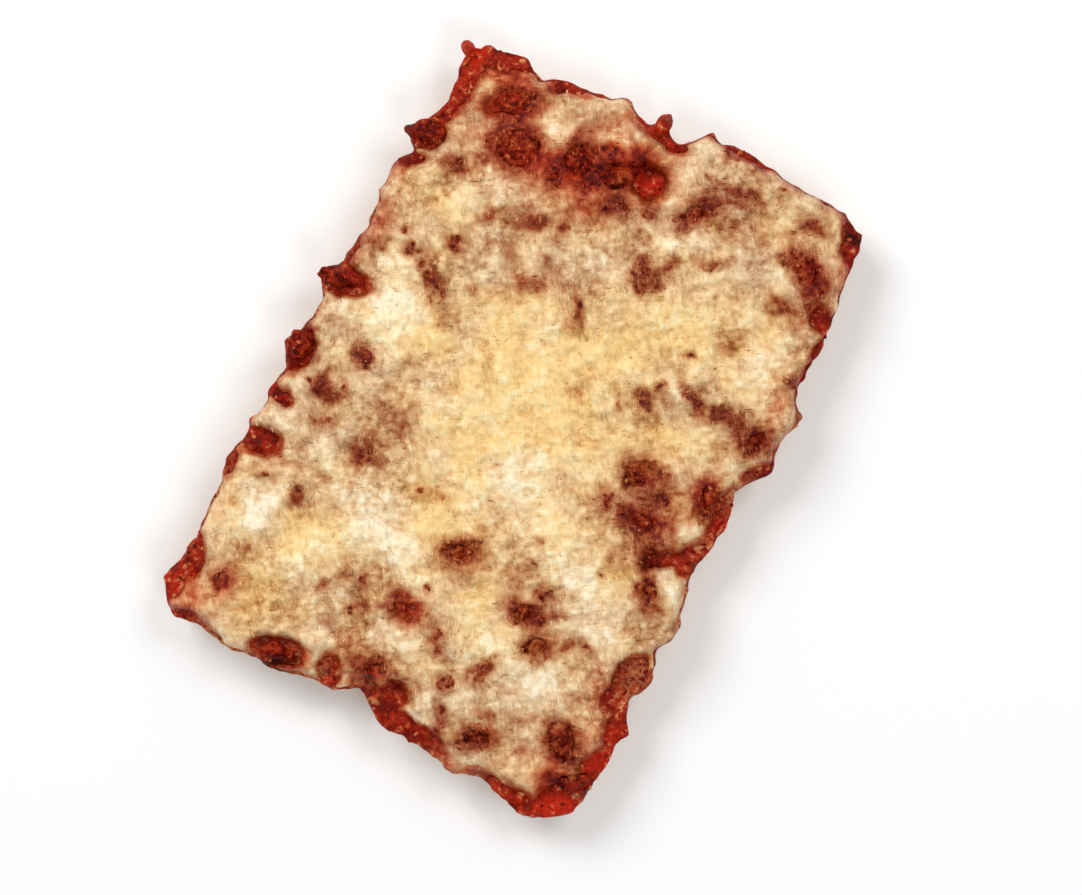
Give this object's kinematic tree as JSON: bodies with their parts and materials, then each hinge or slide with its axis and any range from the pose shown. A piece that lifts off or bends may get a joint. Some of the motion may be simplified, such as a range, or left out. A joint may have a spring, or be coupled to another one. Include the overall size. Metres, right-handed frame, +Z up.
{
  "type": "sheet pan pizza slice",
  "caption": "Rectangular slice of sheet pan pizza with a flat bread crust, tomato sauce, melted cheese and browned meat crumbles, lying flat.",
  "frame": {"origin": "on the table under the middle of the slice: the centre of the bounding box's bottom", "axes": "+X along the short side, +Y along the long side, +Z up from the table through the crust to the cheese"},
  "size_m": [0.1082, 0.1518, 0.0173],
  "materials": {
    "bread": "golden baked bread, dry and matt",
    "sauce": "deep red baked tomato sauce, moist",
    "cheese": "cream melted cheese with a soft oily sheen",
    "meat": "dark maroon-brown browned meat"
  },
  "bodies": {
    "root": {"crust": "bread", "sauce": "sauce", "cheese": "cheese", "crumble_01": "meat", "crumble_02": "meat", "crumble_03": "meat", "crumble_04": "meat", "crumble_05": "meat", "crumble_06": "meat", "crumble_07": "meat", "crumble_08": "meat", "crumble_09": "meat", "crumble_10": "meat", "crumble_11": "meat", "crumble_12": "meat", "crumble_13": "meat", "crumble_14": "meat", "crumble_15": "meat", "crumble_16": "meat", "crumble_17": "meat", "crumble_18": "meat", "crumble_19": "meat", "crumble_20": "meat", "crumble_21": "meat", "crumble_22": "meat", "crumble_23": "meat", "crumble_24": "meat"}
  },
  "joints": []
}
